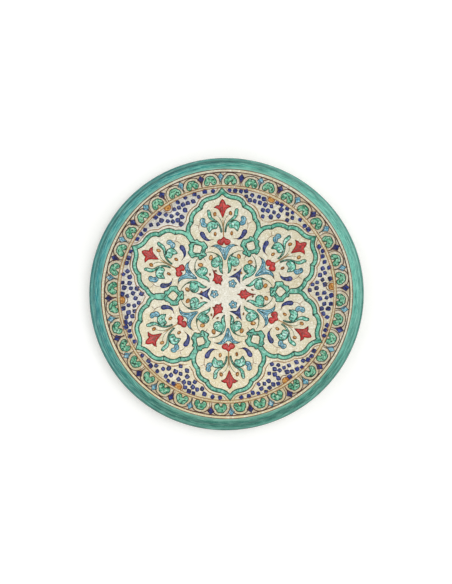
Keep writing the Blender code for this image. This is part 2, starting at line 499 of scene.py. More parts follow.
# colour where it lies evenly, where it is thin, its pale flecks and where it pooled; then how strongly it
# pools, flecks and darkens, the size of its patches in millimetres, and its roughness
enamelTraits = ("colour", "thin", "light", "deep", "pooling", "lights", "specks", "patch", "roughness")
enamels = {name: dict(zip(enamelTraits, traits)) for name, *traits in (
    ("leafGreen", "#369b80", "#72c6a8", "#bdebd6", "#063a28", 0.6, 0.5, 0.55, 10, 0.28),
    ("turquoise", "#3da88a", "#82d3b9", "#d6f5ea", "#053a28", 0.6, 0.85, 0.85, 4, 0.28),
    ("mottledGreen", "#3d9a74", "#80c8a2", "#c8ecd2", "#094430", 0.6, 0.8, 0.95, 4, 0.28),
    ("cobaltBlue", "#0c1650", "#1f3180", "#6b7ac0", "#030416", 0.6, 0.55, 0.8, 4, 0.30),
    ("skyBlue", "#4f92ac", "#7dbccc", "#cdeaee", "#184a60", 0.6, 0.8, 0.7, 5, 0.30),
    ("ironRed", "#a80400", "#c81a10", "#e86a60", "#480000", 0.55, 0.3, 0.7, 5, 0.30),
    ("ochre", "#b06b18", "#cc9140", "#f0d090", "#5e2f06", 0.65, 0.6, 0.7, 3, 0.32))}
lineInks = {
    "manganeseBrown": {"full": "#3f2019", "dry": "#8c5a3c"},
    "darkGreen": {"full": "#0c2f25", "dry": "#4c6444"},
    "ochreLine": {"full": "#83532a", "dry": "#bd8c50"},
}
finishes = {name: enamel(name + "Enamel", finish) for name, finish in enamels.items()}
finishes.update({name: brushLine(name + "Line", finish) for name, finish in lineInks.items()})
paintedPieces = {                # finish -> the piece it is painted as, and its slot
    "leafGreen": ("green_straps", "leaf_green_enamel"),
    "turquoise": ("scroll_leaves", "leaf_green_enamel"),
    "mottledGreen": ("arcade_leaves", "leaf_green_enamel"),
    "cobaltBlue": ("cobalt_enamel", "cobalt_enamel"),
    "skyBlue": ("pale_blue_enamel", "sky_enamel"),
    "ironRed": ("red_enamel", "red_enamel"),
    "ochre": ("ochre_enamel", "ochre_enamel"),
    "manganeseBrown": ("brown_lines", "brown_line"),
    "darkGreen": ("dark_green_lines", "dark_green_line"),
    "ochreLine": ("straw_lines", "ochre_enamel"),
}
print("finishes ready")


# Painting tools. Outlines are runs of marks in millimetres; where two runs meet there is a corner.

def traced(runs, spacing=0.7):
    if len(runs) == 1:
        return curveThrough(runs[0], True, spacing)
    outline = []
    for run in runs:
        outline += curveThrough(run, False, spacing)[:-1]
    return outline


def mirrored(runs):
    # the left half from the right one, across the motif's axis
    return runs + [[(-x, y) for x, y in reversed(run)] for run in reversed(runs)]


def ellipse(x, y, halfWide, halfHigh, lean=0.0):
    turn = math.radians(lean)
    marks = []
    for i in range(20):
        a = 2 * math.pi * i / 20
        across, up = halfWide * math.cos(a), halfHigh * math.sin(a)
        marks.append(Vector((x + across * math.cos(turn) - up * math.sin(turn),
                             y + across * math.sin(turn) + up * math.cos(turn))))
    return marks


def ribbon(line, widths):
    # a brush stroke of changing width, as an outline; widths are spread evenly along the line
    left, right = [], []
    for i, point in enumerate(line):
        along = line[min(i + 1, len(line) - 1)] - line[max(i - 1, 0)]
        side = Vector((-along.y, along.x)).normalized()
        half = np.interp(i / (len(line) - 1), np.linspace(0, 1, len(widths)), widths) / 2
        left.append(point + side * half)
        right.append(point - side * half)
    return right + left[::-1]


def placed(points, axis, side=1):
    # from a motif's own axes (across, outward) to the dish, with the drift of the hand
    a = math.radians(axis)
    stray, size = handMade["drift"] / mm, handMade["driftSize"] / mm
    spots = []
    for point in points:
        x, y = point[0] * side, point[1]
        spot = Vector((x * math.sin(a) + y * math.cos(a), y * math.sin(a) - x * math.cos(a)))
        wander = noise.noise_vector(Vector((spot.x / size, spot.y / size, 3.7)))
        spots.append(spot + Vector((wander.x, wander.y)) * stray)
    return spots


def insideOutline(spots, ring):
    inside = np.zeros(len(spots), dtype=bool)
    for i, (x1, y1) in enumerate(ring):
        x0, y0 = ring[i - 1]
        if y0 != y1:
            crosses = (y0 > spots[:, 1]) != (y1 > spots[:, 1])
            inside ^= crosses & (spots[:, 0] < x0 + (spots[:, 1] - y0) * (x1 - x0) / (y1 - y0))
    return inside


def nearestTo(points):
    tree = kdtree.KDTree(len(points))
    for i, point in enumerate(points):
        tree.insert((point[0], point[1], 0.0), i)
    tree.balance()
    return tree


def filmMesh(name, outlines, thickness, grain=1.5, pool=1.3):
    # a thin pool of enamel inside the outlines, domed towards its middle; returns it and its borders
    rings = []
    for outline in outlines:
        ring = [(float(p[0]), float(p[1])) for p in outline]
        area = sum(ring[i - 1][0] * ring[i][1] - ring[i][0] * ring[i - 1][1] for i in range(len(ring)))
        rings.append(ring if area > 0 else ring[::-1])
    edgeTree = nearestTo([p for ring in rings for p in ring])
    points = [p for ring in rings for p in ring]
    faces, start = [], 0
    for ring in rings:
        faces.append(list(range(start, start + len(ring))))
        start += len(ring)
        low, high = np.min(ring, axis=0), np.max(ring, axis=0)
        rows = np.arange(math.floor(low[1] / (grain * 0.866)), high[1] / (grain * 0.866) + 1)
        columns = np.arange(math.floor(low[0] / grain), high[0] / grain + 1)
        grid = np.array([((c + (r % 2) / 2) * grain, r * grain * 0.866) for r in rows for c in columns])
        for x, y in grid[insideOutline(grid, ring)]:
            if edgeTree.find((x, y, 0.0))[2] > 0.6 * grain:
                points.append((float(x), float(y)))
    spots, _, triangles, _, _, origins = delaunay_2d_cdt([Vector(p) for p in points], [], faces, 1, 1e-4)
    triangles = [tuple(t) for t, origin in zip(triangles, origins) if origin]
    sides = {}
    for a, b, c in triangles:
        for edge in ((a, b), (b, c), (c, a)):
            sides[edge] = True
    border = [edge for edge in sides if (edge[1], edge[0]) not in sides]
    used = sorted({corner for t in triangles for corner in t})
    index = {corner: i for i, corner in enumerate(used)}
    rim = nearestTo([spots[a] for a, b in border] + [(spots[a] + spots[b]) / 2 for a, b in border])
    inset = np.array([rim.find((spots[i].x, spots[i].y, 0.0))[2] for i in used])
    share = np.clip(inset / pool, 0, 1)
    top = [(spots[i].x * mm, spots[i].y * mm, (0.05 + thickness * (1 - (1 - s) ** 2)) * mm)
           for i, s in zip(used, share)]
    bottom = [(x, y, -0.08 * mm) for x, y, _ in top]
    count = len(used)
    faces = [tuple(index[i] for i in t) for t in triangles]
    faces += [tuple(index[i] + count for i in reversed(t)) for t in triangles]
    faces += [(index[b], index[a], index[a] + count, index[b] + count) for a, b in border]
    mesh = bpy.data.meshes.new(name)
    mesh.from_pydata(top + bottom, [], faces)
    mesh.shade_smooth()
    setField(mesh, "edge", np.concatenate((share, share)))
    following = {}
    for a, b in border:
        following.setdefault(a, []).append(b)
    loops = []
    while following:
        start, loop = next(iter(following)), []
        spot = start
        while spot in following:
            loop.append(spots[spot])
            step = following[spot].pop()
            if not following[spot]:
                del following[spot]
            spot = step
        loops.append(loop)
    return mesh, loops


def evenly(loop, spacing):
    # a closed line's points again, at an even spacing
    ring = loop + [loop[0]]
    lengths = np.concatenate(([0.0], np.cumsum([(b - a).length for a, b in zip(ring, ring[1:])])))
    count = max(6, round(lengths[-1] / spacing))
    marks = np.linspace(0, lengths[-1], count, endpoint=False)
    return [Vector((np.interp(m, lengths, [p.x for p in ring]), np.interp(m, lengths, [p.y for p in ring])))
            for m in marks]


def strokeMesh(name, paths):
    # the brush's paths as chains of points that carry its half width and how much colour it holds
    points, edges, halves, loads = [], [], [], []
    for path in paths:
        line, widths, closed = path["line"], path["widths"], path.get("closed", False)
        start = len(points)
        for i, spot in enumerate(line):
            share = i / (len(line) - 1)
            press = noise.noise(Vector((spot.x / 7, spot.y / 7, 1.3)))
            flow = noise.noise(Vector((spot.x / 16, spot.y / 16, 8.1)))
            width = np.interp(share, np.linspace(0, 1, len(widths)), widths)
            points.append((spot.x * mm, spot.y * mm, path.get("lift", 0.1) * mm))
            halves.append(0.5 * width * (1 + 0.35 * press) * mm)
            loads.append(min(1.0, max(0.0, path.get("load", 0.7) + 0.55 * flow + 0.3 * press)))
        edges += [(i, i + 1) for i in range(start, len(points) - 1)]
        if closed:
            edges.append((len(points) - 1, start))
    mesh = bpy.data.meshes.new(name)
    mesh.from_pydata(points, edges, [])
    setField(mesh, "halfWidth", halves)
    setField(mesh, "load", loads)
    return mesh


def brushTree():
    # turns the brush's paths into low, rounded lines of glaze
    tree, given = newTree("brushLine", {"Roundness": "Float", "Sides": "Int",
                                        "Finish": "Material"})
    line = addNode(tree, "GeometryNodeMeshToCurve", links={0: given["Geometry"]})
    level = addNode(tree, "GeometryNodeSetCurveNormal", {"mode": "Z_UP"}, {0: line})
    circle = addNode(tree, "GeometryNodeCurvePrimitiveCircle", {"Radius": 1.0},
                     {"Resolution": given["Sides"]})
    flatten = addNode(tree, "ShaderNodeCombineXYZ", {"X": 1.0, "Z": 1.0}, {"Y": given["Roundness"]})
    profile = addNode(tree, "GeometryNodeTransform",
                      links={0: circle, "Scale": flatten})
    half = addNode(tree, "GeometryNodeInputNamedAttribute", {"data_type": "FLOAT", "Name": "halfWidth"})
    swept = addNode(tree, "GeometryNodeCurveToMesh", {"Fill Caps": True},
                    {0: level, 1: profile, "Scale": half})
    finishTree(tree, swept, given["Finish"])
    return tree


def ringTree():
    # repeats a motif round the dish, each copy a little out of place
    tree, given = newTree("ringOfMotifs", {"Count": "Int", "First": "Float",
                                           "Step": "Float", "Unevenness": "Float",
                                           "Crowding": "Float", "Crowded At": "Float",
                                           "Seed": "Int", "Finish": "Material"})
    spots = addNode(tree, "GeometryNodePoints", links={"Count": given["Count"]})
    index = addNode(tree, "GeometryNodeInputIndex")
    even = addNode(tree, "ShaderNodeMath", {"operation": "MULTIPLY"}, {0: index, 1: given["Step"]})
    turned = addNode(tree, "ShaderNodeMath", {"operation": "ADD"}, {0: even, 1: given["First"]})
    least = addNode(tree, "ShaderNodeMath", {"operation": "MULTIPLY", 1: -1.0}, {0: given["Unevenness"]})
    stray = addNode(tree, "FunctionNodeRandomValue", {"data_type": "FLOAT"},
                    {2: least, 3: given["Unevenness"], "Seed": given["Seed"]})
    fromThere = addNode(tree, "ShaderNodeMath", {"operation": "SUBTRACT"},
                        {0: turned, 1: given["Crowded At"]})
    wave = addNode(tree, "ShaderNodeMath", {"operation": "COSINE"}, {0: fromThere})
    crowd = addNode(tree, "ShaderNodeMath", {"operation": "MULTIPLY_ADD"},
                    {0: wave, 1: given["Crowding"], 2: turned})
    angle = addNode(tree, "ShaderNodeMath", {"operation": "ADD"}, {0: crowd, 1: stray.outputs[1]})
    spin = addNode(tree, "FunctionNodeAxisAngleToRotation", {"Axis": (0.0, 0.0, 1.0)},
                   {"Angle": angle})
    grow = addNode(tree, "FunctionNodeRandomValue", {"data_type": "FLOAT", 2: 0.994, 3: 1.006},
                   {"Seed": given["Seed"]})
    copies = addNode(tree, "GeometryNodeInstanceOnPoints",
                     links={0: spots, "Instance": given["Geometry"], "Rotation": spin,
                            "Scale": grow.outputs[1]})
    finishTree(tree, copies, given["Finish"])
    return tree


def dabTree():
    # sets a dab of enamel on every point, turned and sized as the point says
    tree, given = newTree("brushDabs", {"Dab": "Object", "Finish": "Material"})
    dab = addNode(tree, "GeometryNodeObjectInfo", links={"Object": given["Dab"]})
    turn = addNode(tree, "GeometryNodeInputNamedAttribute", {"data_type": "FLOAT", "Name": "turn"})
    size = addNode(tree, "GeometryNodeInputNamedAttribute", {"data_type": "FLOAT", "Name": "size"})
    spin = addNode(tree, "FunctionNodeAxisAngleToRotation", {"Axis": (0.0, 0.0, 1.0)},
                   {"Angle": turn})
    copies = addNode(tree, "GeometryNodeInstanceOnPoints",
                     links={0: given["Geometry"], "Instance": dab.outputs["Geometry"],
                            "Rotation": spin, "Scale": size})
    finishTree(tree, copies, given["Finish"])
    return tree


wheel, brush, ringOf, dabs = turningTree(), brushTree(), ringTree(), dabTree()


def joined(name, meshes):
    # several meshes as one; their attributes stay with them
    host = bpy.data.meshes.new(name)
    made = bpy.data.objects.new("joined", host)
    bpy.context.scene.collection.objects.link(made)
    others = [bpy.data.objects.new("part", mesh) for mesh in meshes]
    for other in others:
        bpy.context.scene.collection.objects.link(other)
    with bpy.context.temp_override(active_object=made, selected_editable_objects=[made] + others):
        bpy.ops.object.join()
    bpy.data.objects.remove(made)
    return host


def layDown(mesh):
    # from the flat to the dish's face
    points = coordinates(mesh)
    points[:, 2] += faceHeight(np.hypot(points[:, 0], points[:, 1]))
    setCoordinates(mesh, settle(points))
    return mesh


def drawn(name, paths, finish, sides=8):
    return runTree(strokeMesh(name, paths), brush,
                   {"Roundness": 0.4, "Sides": sides, "Finish": finishes[finish]})


painted = {name: [] for name in list(enamels) + list(lineInks)}      # finished meshes by finish
strokes = {name: [] for name in lineInks}


def drawLine(ink, marks, axis, side, widths, load=0.7, lift=0.1):
    # one stroke of the liner brush through a motif's marks
    line = placed(curveThrough(marks, False, 1.0), axis, side)
    strokes[ink].append({"line": line, "widths": widths, "load": load, "lift": lift})


def outlineStrokes(loops, ink, width, load=0.7, shortest=4.0):
    for loop in loops:
        if sum((b - a).length for a, b in zip(loop, loop[1:])) > shortest:
            strokes[ink].append({"line": evenly(loop, 1.1), "widths": [width, width], "closed": True,
                                 "load": load, "lift": 0.12})


# The rosette: six petals of green strap-work, each with its flowers and scrolls.
# Marks are (across, outward) from a petal's own axis, for its right half.

rosette = {
    "petalAxes": (93, 32.8, -27, -88.4, -148.8, 153.2),
    "junctionAxes": (63.2, 2.6, -57.6, -119.4, -178.1, 123.1),
    "strapWidth": 5.1,
    "knotWidth": 4.8,
    "knotLobe": 3.3,
    "strapLobes": [
        [(0, 132), (3.2, 128.4), (6.6, 125.8), (10.6, 124), (14.6, 123.2), (18.6, 122.2), (22.4, 120.3),
         (25.4, 117.6), (27.4, 114.6), (28, 111.4)],
        [(28, 111.4), (31.6, 109.6), (35.4, 106.8), (38.4, 103), (40, 98.6), (40.2, 94)],
        [(40.2, 94), (42.8, 90.8), (44.6, 86.6), (45, 82), (44.2, 77.4), (42.4, 73), (39.8, 69)]],
    "strapTip": [(0, 136.8), (1.3, 133.9), (3.4, 130.4), (0, 127.4)],
    "knot": [[(0, 79.5), (4.6, 75), (8.2, 70.6), (9.4, 67.4)],
             [(9.4, 67.4), (6.2, 63.6), (2.6, 60.8), (0, 58.2)]],
    "cusps": [[(25.8, 109.4), (28.6, 111.8)], [(37.9, 92.4), (40.8, 94.4)], [(31.0, 114.2), (28.8, 112)]],
    "knotBumps": [(10.2, 70.4, 2.3), (10.2, 64.4, 2.3), (3.5, 57.2, 2.2), (4.9, 77.8, 2.1)],
    "crossings": [[(-3.2, 82.2), (0, 79), (3, 76.2)], [(-7.6, 66), (-4.4, 63.2)], [(2.2, 60.4), (5.2, 63)],
                  [(-2.5, 60.8), (0, 58.4), (2.4, 56.6)]],
    "knotTrunk": [(0, 92), (0, 79)],
    "trunkWidths": [7.0, 6.0],
    "knotTail": [(0, 54), (0, 50)],
    "palmette": [[(0, 121.5), (2.2, 119.5), (3.6, 116.5), (4.4, 113.6)],
                 [(4.4, 113.6), (7, 113.8), (11.5, 111.2)],
                 [(11.5, 111.2), (8.5, 110.2), (5.2, 108.2), (3.2, 104.5), (1.6, 100.5), (0, 97)]],
    "crown": [[(0, 74), (1.8, 72.6), (3.0, 70.9)],
              [(3.0, 70.9), (5.8, 70.4), (8.4, 68), (8, 65.2), (5.4, 63.2), (2.6, 62.6), (1.1, 63.6),
               (0.5, 65.4), (0, 66.4)]],
    "lily": [[(0, 60), (1.5, 59.5), (3, 61), (6, 62.8), (9.5, 63.7), (13, 63), (16.5, 61.2)],
             [(16.5, 61.2), (12, 61), (8.5, 59), (6, 56), (4, 52), (2.6, 48), (1.2, 44), (0, 43)]],
    "scrollStem": [(2.6, 79.5), (3.2, 84), (5, 88.6), (8.2, 92.6), (12.2, 95.8), (16.2, 98.6)],
    "finger": [(12.4, 95.4), (15.4, 98), (17.2, 101.4), (17.4, 104.6), (18.2, 106.6)],
    "leaf": [[(18.2, 79.4), (16.4, 81.4), (14.4, 83.8), (11.8, 84.4), (9.2, 84.2), (7.6, 86), (7.2, 88.6),
              (8.6, 91.6), (11.4, 93.2), (14.6, 93.6), (17.8, 93), (20.2, 91.2), (21.4, 88.4), (21, 85.2),
              (19.6, 82.2), (18.2, 79.4)]],
    "leafVein": [(8, 92.2), (12, 93.9), (17, 93.8)],
    "bell": [[(20.9, 87.6), (23.6, 86.6), (26.6, 87.2)], [(26.6, 87.2), (28.6, 89.4), (28.4, 92.0)],
             [(28.4, 92.0), (29.8, 94.6), (28.6, 97.4)], [(28.6, 97.4), (26.0, 98.8), (23.2, 97.8)],
             [(23.2, 97.8), (23.0, 95.2), (23.6, 93.2), (21.8, 91.6), (20.5, 89.8), (20.9, 87.6)]],
    "bellLines": [[(22.6, 89.4), (25.0, 90.2), (26.2, 92.4)], [(25.2, 97.6), (26.2, 95.4), (25.8, 93.4)]],
    "comma": [[(15.6, 70.0), (19.2, 68.6), (23.2, 69.4), (27, 72.2), (29.8, 75.8), (30.6, 78.8), (29.2, 81.2),
               (26.4, 81.2), (24.2, 79.2), (23, 75.6), (20.8, 72.4), (18.4, 70.9), (15.6, 70.0)],
              [(15.6, 70.0), (15.5, 69.9)]],
    "palmetteCreases": [[(0.3, 118), (0, 110), (0.2, 101)], [(5.4, 111.8), (2.6, 109.4), (0.9, 104.4)]],
    "leafLobes": [[(10.2, 85.2), (11.2, 87.6), (10.6, 90.2)], [(14.4, 84.8), (14.8, 87.4), (14, 90.2)],
                  [(18.2, 82.2), (18.4, 85.2), (17.4, 88.4)]],
    "curlLobes": [[(16.6, 42.6), (14.6, 41.2), (12.4, 41.4)], [(17.2, 38.6), (14.6, 38.2), (12.2, 39.2)],
                  [(13.4, 35.6), (11.6, 36.6), (10.8, 38.8)]],
    "lilyTip": [(13.3, 62.4), (16.2, 61.4), (18.2, 60.6)],
    "commaTail": [(18, 70), (15, 70.2), (12.4, 71)],
    "lilyVeins": [[(0.9, 58), (0.5, 51), (0.1, 45)], [(10.4, 62), (6.4, 60.2), (3.6, 56.6), (2.0, 52)]],
    "curlStem": [(3.4, 26.4), (5.4, 29.6), (6, 33.6), (5.4, 37.6), (4.9, 41.6), (5.6, 45.4), (7.6, 48.8),
                 (10.6, 51.4)],
    "curlEnd": [(9.0, 50.2), (10.6, 51.4), (14.4, 53.2), (18.6, 54.2), (23.6, 54)],
    "curlLeaf": [[(6.2, 46.6), (8.4, 47.8), (11.2, 47.4), (13.6, 46.4), (15.4, 45.2), (17.4, 43.2),
                  (18.2, 40.2), (17.4, 37.2), (15, 35.2), (12, 34.6), (9.4, 35.6), (7.6, 38), (6.6, 41.4),
                  (5.8, 44.2)]],
    "curlShade": [(5.6, 38.6), (5.9, 42.6), (7.0, 46.2), (9.4, 49.0)],
    "curlNotch": [(13.8, 46.2), (12.6, 43.8), (13.4, 41.6)],
    "ochreSpots": [(18, 47.2, 2.3, 3.2, 25), (12.6, 30.4, 1.8, 1.0, 20), (10.6, 77.6, 1.7, 2.7, 0),
                   (10.2, 102.8, 2.0, 2.7, 10)],
    "oliveStem": [(0.6, 80), (0.8, 88), (2.4, 94), (5.2, 98.6), (8.6, 101.4)],
    "paleStem": [(0, 74), (0, 84), (0, 95)],
    "hairLines": [[(29.6, 80), (31.2, 83.6), (31.4, 87.6), (30.0, 91.6), (29.2, 95)],
                  [(31.4, 88.6), (33.6, 89.6), (36.4, 90.6)]],
    "contour": [[(4.6, 135.6), (7.4, 131.6), (11.4, 129.6), (16, 128.6), (20.8, 127.4), (25.6, 125.4),
                 (29.6, 121.8), (32.2, 117.6), (33.4, 115)],
                [(33.4, 115), (37.6, 112.8), (41.6, 109.2), (44.6, 104.4), (46.2, 99), (46.6, 96.6)],
                [(46.6, 96.6), (49, 93.2), (51.4, 89.4)]],
}
petalAxes = rosette["petalAxes"]
junctionAxes = rosette["junctionAxes"]
sides = (1, -1)


def paintFilms(name, finish, outlines, thickness, **options):
    mesh, loops = filmMesh(name, outlines, thickness, **options)
    mesh.materials.append(finishes[finish])
    painted[finish].append(mesh)
    return loops


def disc(centre, radius):
    return ellipse(centre[0], centre[1], radius, radius)


strapOutlines = []
for axis in petalAxes:
    for side in sides:
        for lobe in rosette["strapLobes"]:
            line = placed(curveThrough(lobe, False, 1.2), axis, side)
            strapOutlines.append(ribbon(line, [rosette["strapWidth"]] * 2))
            strapOutlines.append(disc(line[0], rosette["strapWidth"] / 2))
    tip = rosette["strapTip"]
    strapOutlines.append(placed(tip + [(-x, y) for x, y in tip[-2:0:-1]], axis))
for axis in junctionAxes:
    for side in sides:
        for run in rosette["knot"]:
            line = placed(curveThrough(run, False, 1.2), axis, side)
            strapOutlines.append(ribbon(line, [rosette["knotWidth"]] * 2))
            strapOutlines.append(disc(line[0], rosette["knotLobe"]))
            strapOutlines.append(disc(line[-1], rosette["knotLobe"]))
        for x, y, size in rosette["knotBumps"]:
            strapOutlines.append(placed(disc((x, y), size), axis, side))
    trunk = placed(curveThrough(rosette["knotTrunk"], False, 1.2), axis)
    strapOutlines.append(ribbon(trunk, rosette["trunkWidths"]))
for axis in petalAxes:
    for side in sides:
        for line in rosette["cusps"]:
            drawLine("darkGreen", line, axis, side, [1.6, 1.3, 0.6], 1.0, 0.22)
strapLoops = paintFilms("strapWork", "leafGreen", strapOutlines, 0.16)
outlineStrokes(strapLoops, "darkGreen", 1.15, load=0.75)
for axis in junctionAxes:
    for line in rosette["crossings"]:
        drawLine("darkGreen", line, axis, 1, [0.8, 1.5, 0.7], 0.9, 0.24)
    drawLine("manganeseBrown", rosette["knotTail"], axis, 1, [0.9, 0.3])
print("strap-work painted")

contour = []
for run in rosette["contour"]:
    contour += curveThrough(run, False, 1.1)[:-1]
green, red, sky, cobalt, ochre = [], [], [], [], []
for axis in petalAxes:
    red.append(placed(traced(mirrored(rosette["palmette"])), axis))
    red.append(placed(traced(mirrored(rosette["crown"])), axis))
    sky.append(placed(traced(mirrored(rosette["lily"])), axis))
    for side in sides:
        stem = curveThrough(rosette["scrollStem"], False, 1.0)
        green.append(placed(ribbon(stem, [1.6, 2.2, 2.4]), axis, side))
        finger = curveThrough(rosette["finger"], False, 1.0)
        green.append(placed(ribbon(finger, [2.2, 3.6, 4.4, 4.6, 3.8]), axis, side))
        green.append(placed(disc(finger[-1], 2.0), axis, side))
        green.append(placed(traced(rosette["leaf"]), axis, side))
        curl = curveThrough(rosette["curlStem"], False, 1.0)
        green.append(placed(ribbon(curl, [0.5, 3.2, 4.8, 4.2, 2.6, 1.9, 1.3]), axis, side))
        green.append(placed(traced(rosette["curlLeaf"]), axis, side))
        sky.append(placed(traced(rosette["bell"]), axis, side))
        cobalt.append(placed(traced(rosette["comma"]), axis, side))
        ochre += [placed(ellipse(*spot), axis, side) for spot in rosette["ochreSpots"]]
        for motif, ink, widths, load in (
                ("curlEnd", "darkGreen", [1.2, 1.0, 0.5], 0.35),
                ("oliveStem", "darkGreen", [0.9, 0.7, 0.4], 0.25),
                ("leafVein", "darkGreen", [0.9, 1.4, 0.7], 0.9),
                ("curlShade", "darkGreen", [0.5, 1.2, 0.6], 0.7),
                ("curlNotch", "darkGreen", [0.9, 0.7, 0.3], 0.6),
                ("lilyTip", "manganeseBrown", [1.1, 0.9, 0.3], 0.8),
                ("commaTail", "manganeseBrown", [1.0, 0.8, 0.3], 0.6)):
            drawLine(ink, rosette[motif], axis, side, widths, load, 0.16)
        for line in rosette["palmetteCreases"]:
            drawLine("manganeseBrown", line, axis, side, [0.2, 0.7, 0.3], 0.8, 0.24)
        for line in rosette["lilyVeins"] + rosette["leafLobes"] + rosette["curlLobes"] + rosette["bellLines"]:
            drawLine("darkGreen", line, axis, side, [0.4, 0.9, 0.3], 0.7, 0.22)
        for line in rosette["hairLines"]:
            drawLine("manganeseBrown", line, axis, side, [0.3, 0.7, 0.3], 0.3)
        strokes["ochreLine"].append({"line": placed(contour, axis, side),
                                     "widths": [0.7, 1.2, 1.1, 1.2, 0.7]})
    drawLine("ochreLine", rosette["paleStem"], axis, 1, [1.6, 1.4, 0.8], 0.2, 0.05)

outlineStrokes(paintFilms("scrollLeaves", "turquoise", green, 0.16), "darkGreen", 0.8, load=0.75)
print("leaves and flowers painted")

# The buds round the centre, drawn with their points outwards.
buds = {
    "redAxes": (120, 0, -120),
    "redStar": [[(0, 37.5), (1.1, 31.8), (2.4, 28.2), (4.3, 25.8), (7.8, 23.4)],
                [(7.8, 23.4), (5.2, 22.2), (5.6, 19.6), (4.0, 17.2)],
                [(4.0, 17.2), (2.2, 17.4), (1.0, 15.6), (0, 12.8)]],
    "redCreases": [[(0, 33), (0.2, 26), (-0.2, 19)], [(4.6, 22.2), (2.2, 21.6), (0.6, 19.6)]],
    "blueAxes": (60, 180, -60),
    "blueCap": [[(0, 39.5), (1.3, 34.2), (3.3, 29.2), (5.6, 24.8), (8.8, 20.0)],
                [(8.8, 20.0), (5.8, 21.4), (3.4, 22.6), (1.7, 23.6), (0, 24.2)]],
    "cupAt": 15.6,
    "cupReach": 3.3,
    "cupPetal": 2.1,
    "cupPetals": 5,
}
for axis in buds["redAxes"]:
    red.append(placed(traced(mirrored(buds["redStar"])), axis))
    for line in buds["redCreases"]:
        drawLine("manganeseBrown", line, axis, 1, [0.2, 0.7, 0.3], 0.8, 0.24)
for axis in buds["blueAxes"]:
    cobalt.append(placed(traced(mirrored(buds["blueCap"])), axis))
    for i in range(buds["cupPetals"]):
        a = 2 * math.pi * (i + 0.5) / buds["cupPetals"]
        petalAt = (buds["cupReach"] * math.cos(a), buds["cupAt"] + buds["cupReach"] * math.sin(a))
        sky.append(placed(disc(petalAt, buds["cupPetal"]), axis))

outlineStrokes(paintFilms("paleBlueFlowers", "skyBlue", sky, 0.18), "darkGreen", 0.6, load=0.7)
outlineStrokes(paintFilms("redFlowers", "ironRed", red, 0.22), "manganeseBrown", 0.45, load=0.45)
print("buds painted")

# The dotted fields between the petals.
dotted = {
    "innerRing": 98.0,
    "outerRing": 136.0,
    "tipRing": 129.0,      # beyond this a field is so narrow that its dabs crowd the border
    "tries": 2600,
    "apart": 6.3,
    "clear": 2.5,          # a dab's middle keeps this far from the field's border
    "dropAt": (-3.6, 132.6),
    "dropClear": 7.0,
    "drop": [(-4.4, 136.2), (-4.5, 133), (-3.3, 130.6), (0, 129.6), (3.3, 130.6), (4.5, 133), (4.4, 136.2)],
    "dropArc": [(-6.4, 135.8), (-5.6, 131.6), (-3.2, 128), (0, 126.6), (3.2, 128), (5.6, 131.4),
                (6.6, 135.6)],
    "flecks": [(-14, 121), (9, 126.6), (16, 128.6), (-19, 128), (1.5, 112.4), (-7, 106), (24, 123.5),
               (5, 121)],
    "dabSize": 6.2,
    "dabShapes": 4,
}
hand = random.Random(11)
dabSpots = []
for axis in junctionAxes:
    right = placed(contour, axis + 30, 1)
    left = placed(contour, axis - 30, -1)
    a = math.radians(axis)
    fieldOutline = [(p.x, p.y) for p in right] + [(p.x, p.y) for p in reversed(left)]
    ends = [math.atan2(left[0].y, left[0].x), math.atan2(right[0].y, right[0].x)]
    sweep = (ends[1] - ends[0] + math.pi) % (2 * math.pi) - math.pi
    fieldOutline += [(dotted["outerRing"] * math.cos(ends[0] + sweep * i / 40),
                      dotted["outerRing"] * math.sin(ends[0] + sweep * i / 40)) for i in range(41)]
    borderTree = nearestTo(fieldOutline)
    drop = placed([dotted["dropAt"]], axis)[0]
    inField = []
    for _ in range(dotted["tries"]):
        radius = math.sqrt(hand.uniform(dotted["innerRing"] ** 2, dotted["outerRing"] ** 2))
        angle = a + math.radians(hand.uniform(-30, 30))
        inField.append((radius * math.cos(angle), radius * math.sin(angle)))
    inside = insideOutline(np.array(inField), fieldOutline)
    for x, y in [spot for spot, kept in zip(inField, inside) if kept]:
        spot = Vector((x, y))
        clear = dotted["clear"] * (0.72 if spot.length > dotted["tipRing"] else 1)
        if ((spot - drop).length > dotted["dropClear"] and borderTree.find((x, y, 0.0))[2] > clear
                and all((spot - other).length > dotted["apart"] for other, _ in dabSpots)):
            dabSpots.append((spot, math.atan2(y, x) + hand.uniform(-0.5, 0.5)))
    shift = dotted["dropAt"][0]
    ochre.append(placed([(x + shift, y) for x, y in curveThrough(dotted["drop"], False, 0.8)], axis))
    dropArc = [(x + shift, y) for x, y in dotted["dropArc"]]
    drawLine("manganeseBrown", dropArc, axis, 1, [0.5, 1.0, 0.9, 0.5], 0.5)
    for x, y in dotted["flecks"]:
        ochre.append(placed(ellipse(x + hand.uniform(-1.5, 1.5), y + hand.uniform(-1, 1), 0.7, 0.45,
                                    hand.uniform(0, 180)), axis))

